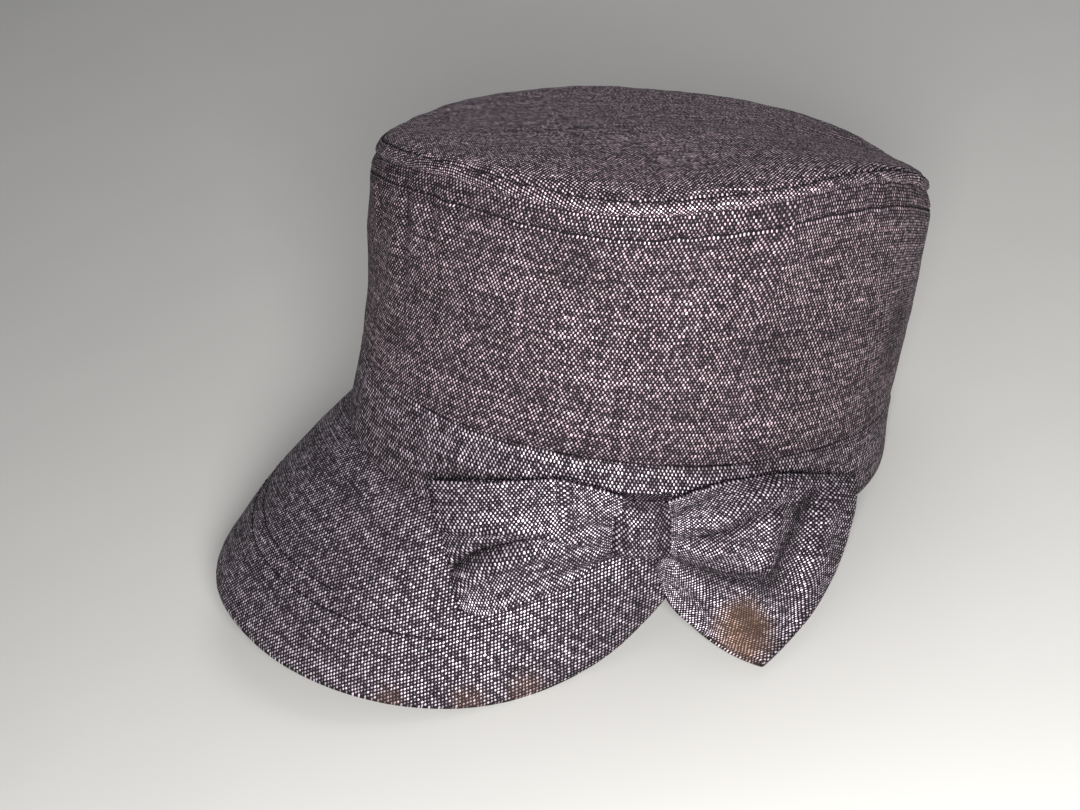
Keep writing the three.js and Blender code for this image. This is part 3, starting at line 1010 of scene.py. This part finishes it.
backLoop = {
    "name": "bowBackLoop",
    "node": "bow_back_loop",
    "stations": [
        {"bottom": (1, -4.5, 3.5), "middle": (2, 7, 5), "top": (2, 17, 1.5), "depth": 2.5},
        {"bottom": (5, -14.6, 8.5), "middle": (18, 4, 5.5), "top": (16, 21, -2), "depth": 6},
        {"bottom": (13, -20.2, 14.5), "middle": (32, 0.6, 5.5), "top": (33, 21, -7.5), "depth": 7},
        {"bottom": (22, -23.8, 19.5), "middle": (46, -3.6, 4), "top": (52, 18, -15), "depth": 7},
        {"bottom": (32.6, -25.4, 24.8), "middle": (60, -7.6, 1.5),
         "top": (71, 12.2, -25), "depth": 7},
    ],
    "creases": [
        {"path": [(68, 9), (57, 9), (51, -3), (46, -18), (38, -20)],
         "lift": [1.2, 2.2, 2.8, 2.6, 0.8], "spread": [6, 4]},
        {"path": [(60, 16), (50, 12), (44, 3), (38, -6), (34, -13)],
         "lift": [-0.5, -2.0, -2.6, -2.4, -0.4], "spread": [4, 3.6]},
        {"path": [(40, 17), (36, 10), (34, -2), (32, -8)],
         "lift": [0.4, 1.8, 1.8, 0], "spread": [3.2, 3.4]},
        {"path": [(4, 9), (20, 13), (38, 18), (60, 17)],
         "lift": [0.6, 2.2, 2.4, 0.8], "spread": [2.4, 3.4]},
        {"path": [(4, 6), (18, 8), (34, 13), (50, 17)],
         "lift": [-1.2, -2.0, -2.0, 0], "spread": [1.7, 1.7]},
        {"path": [(4, 3), (18, 3), (30, 5)], "lift": [1.0, 2.2, 0.4], "spread": [2.2, 2.6]},
        {"path": [(4, -1), (14, -3.5), (24, -5), (33, -5)],
         "lift": [-1.6, -2.4, -2.8, -2.4], "spread": [2.0, 2.8]},
        {"path": [(5, -4), (14, -9), (24, -16), (32, -24)],
         "lift": [1.2, 2.4, 2.0, 0.4], "spread": [3, 5]},
        {"path": [(7, -8), (14, -14), (20, -22)], "lift": [-0.6, -1.2, 0], "spread": [1.6]},
        {"path": [(3, 13), (12, 17), (22, 20)], "lift": [-1.2, -1.2, 0], "spread": [1.6]},
    ],
    "wear": [{"centre": (27, -19.5, 19), "radius": 14, "soft": 0.35, "strength": 0.95, "ragged": 12}],
}


def loopSurface(loop, along, up):
    # the loop's front surface: along 0 at the knot to 1 at the fold, up 0 to 1 across the ribbon
    lines = [
        smoothLine([station[edge] for station in loop["stations"]], 201)
        for edge in ("bottom", "middle", "top")
    ]
    places = np.linspace(0, 1, 201)
    low, centre, high = (pointsAt(along, places, line) for line in lines)
    t = up[..., None]
    return low * (1 - t) * (1 - 2 * t) + centre * 4 * t * (1 - t) + high * t * (2 * t - 1)


def makeLoop(loop):
    turns = np.linspace(0, 2 * math.pi, 241)[:-1]
    rise = steps((0, 0.06, 0.012), (0.06, 0.94, 0.02), (0.94, 1, 0.012))
    turn, up = np.meshgrid(turns, rise)
    along = 0.5 - 0.5 * np.cos(turn)
    measured = loopSurface(loop, along, up)
    front = bowPoint(measured)
    # the way the ribbon faces, taken from the front surface alone
    spread = np.linspace(0, 1, 61)
    alongGrid, upGrid = np.meshgrid(spread, rise)
    plain = bowPoint(loopSurface(loop, alongGrid, upGrid))
    facingGrid = surfaceNormals(plain, False)
    if np.mean(facingGrid @ knotOut) < 0:
        facingGrid = -facingGrid
    facing = np.stack([pointsAt(*row) for row in zip(along, [spread] * len(rise), facingGrid)])
    depths = [station["depth"] for station in loop["stations"]]
    depth = np.interp(along, np.linspace(0, 1, len(depths)), depths)
    depth = depth * (0.55 + 0.45 * 4 * up * (1 - up))
    roundness = np.sign(np.sin(turn)) * np.abs(np.sin(turn)) ** 0.55
    onFront = ease(-0.1, 0.6, roundness)
    relief = creases(measured[..., 0], measured[..., 1], loop["creases"])
    relief = relief + 0.18 * wander(front, 14, 51) + 0.06 * wander(front, 6, 52)
    relief = relief * onFront * ease(0, 0.1, along)
    offset = depth * (roundness - 1) / 2 + relief
    outer = front + facing * offset[..., None]
    direction = 1 if loop["name"] == "bowBackLoop" else -1
    outer, relief = outer[:, ::-direction], relief[:, ::-direction]
    # threads: lengths along the ribbon's middle and across it at its fold
    middle = outer[len(rise) // 2]
    walked = lengthsAlong(np.concatenate([middle, middle[:1]]))
    risen = lengthsAlong(outer[:, int(np.argmax(along[0, ::-direction]))])
    threads = np.stack(np.broadcast_arrays(walked[None, :], risen[:, None]), axis=-1)
    return clothPiece(loop["name"], outer, bowPlace["cloth"], threads, True, relief)


def bowWear(loop):
    return [{**patch, "centre": bowPoint(patch["centre"])} for patch in loop.get("wear", ())]


for loop in (frontLoop, backLoop):
    piece = makeLoop(loop)
    cloth = linen(loop["name"] + "Linen", weaves["loop"], bowWear(loop))
    dress(piece, cloth, loop["node"])

knotCloth = {
    "low": -1.6,
    "high": 17.8,
    "lowTurn": -88,
    "highTurn": 104,
    "from": -15.2,
    "to": 5.2,
    "depth": 10.5,
    "thickness": 1.2,
    "creases": [
        {"path": [(-12, 4), (-11.5, 10), (-12, 18)], "lift": [-0.4, -0.8, -0.4], "spread": [1.2]},
        {"path": [(-3, 2), (-4, 10), (-3, 19)], "lift": [-0.3, 0.5, 0.2], "spread": [3]},
        {"path": [(2, 3), (1, 9), (2, 17)], "lift": [-0.5, -0.9, -0.2], "spread": [1.6]},
    ],
}


def makeKnot(cloth):
    turns = np.linspace(cloth["lowTurn"], cloth["highTurn"], 79)
    widths = np.linspace(cloth["from"], cloth["to"], 27)
    turn, along = np.meshgrid(np.radians(turns), widths, indexing="ij")
    middle, half = (cloth["low"] + cloth["high"]) / 2, (cloth["high"] - cloth["low"]) / 2
    share = (along - cloth["from"]) / (cloth["to"] - cloth["from"])
    waist = 1 - 0.1 * np.sin(share * math.pi)
    bulge = np.sin(np.clip(share, 0.03, 0.97) * math.pi) ** 0.22
    signed = np.sign(np.sin(turn)) * np.abs(np.sin(turn)) ** 0.6
    up = middle + half * signed * waist
    out = cloth["depth"] * np.sign(np.cos(turn)) * np.abs(np.cos(turn)) ** 0.5 * bulge
    onBand = crownPoint(np.clip(up, 0, 24), bowPlace["angle"])
    drawn = knotBase + knotAlong * along[..., None] + knotOut * out[..., None]
    drawn[..., 2] = up
    drawn += (onBand - knotBase) * [1, 1, 0]
    drawn -= knotOut * (along**2 / (2 * 90))[..., None]
    normals = surfaceNormals(drawn, False)
    flip = 1 if np.mean(normals @ knotOut) > 0 else -1
    relief = creases(along, up, cloth["creases"]) + 0.12 * wander(drawn, 7, 61)
    outer = drawn + normals * (flip * relief)[..., None]
    walked = lengthsAlong(outer[:, len(widths) // 2])
    threads = np.stack(np.broadcast_arrays(widths[None, :], walked[:, None]), axis=-1)
    return clothPiece("bowKnot", outer, cloth["thickness"], threads, False, relief)


knot = makeKnot(knotCloth)
dress(knot, linen("knotLinen", weaves["knot"]), "bow_knot")
# lights stand beside the camera (its right, up and back) or at a place of their own
stageLook = {
    "floor": (0.44, 0.43, 0.41),
    "floorSize": 6,
    "sky": (0.92, 0.94, 1),
    "skyStrength": 0.3,
    "aim": [40, -20, 40],
    "lights": {
        "keyLight": {"beside": (0.03, -0.09, 0.02), "size": 0.2, "power": 8.6},
        "fillLight": {"beside": (-0.5, 0.9, 0.5), "size": 1.2, "power": 0.8},
        "aboveLight": {"at": (-0.5, 0.5, 1.3), "size": 1.2, "power": 7.0},
    },
}


def makeFloor(look):
    s = Shader("paleFloor")
    place = s.objectPlace()
    grain = s.noise(place, 9.0, 4.0, 0.55)
    low = tuple(0.93 * value for value in look["floor"])
    s.plug(s.cloth.inputs["Base Color"], s.tint(grain, (*low, 1), (*look["floor"], 1)))
    s.cloth.inputs["Roughness"].default_value = 0.9
    bpy.ops.mesh.primitive_plane_add(size=look["floorSize"], location=(0, 0, -0.0002))
    floor = bpy.context.object
    floor.name = "studioFloor"
    floor.data.materials.append(s.material)


def makeLight(name, lamp, aim):
    data = bpy.data.lights.new(name, "AREA")
    data.shape, data.size, data.energy = "DISK", lamp["size"], lamp["power"]
    light = addObject(name, data)
    if "beside" in lamp:
        light.location = camera.location + camera.matrix_world.to_3x3() @ Vector(lamp["beside"])
    else:
        light.location = lamp["at"]
    light.rotation_euler = (aim - light.location).to_track_quat("-Z", "Y").to_euler()


makeFloor(stageLook)
for name, lamp in stageLook["lights"].items():
    makeLight(name, lamp, Vector(onFloor(stageLook["aim"])))
world = bpy.data.worlds.new("studioWorld")
bpy.context.scene.world = world
world.use_nodes = True
world.node_tree.nodes["Background"].inputs[0].default_value = (*stageLook["sky"], 1)
world.node_tree.nodes["Background"].inputs[1].default_value = stageLook["skyStrength"]
bpy.context.scene.view_settings.view_transform = "Standard"
print("floor and lights are in")
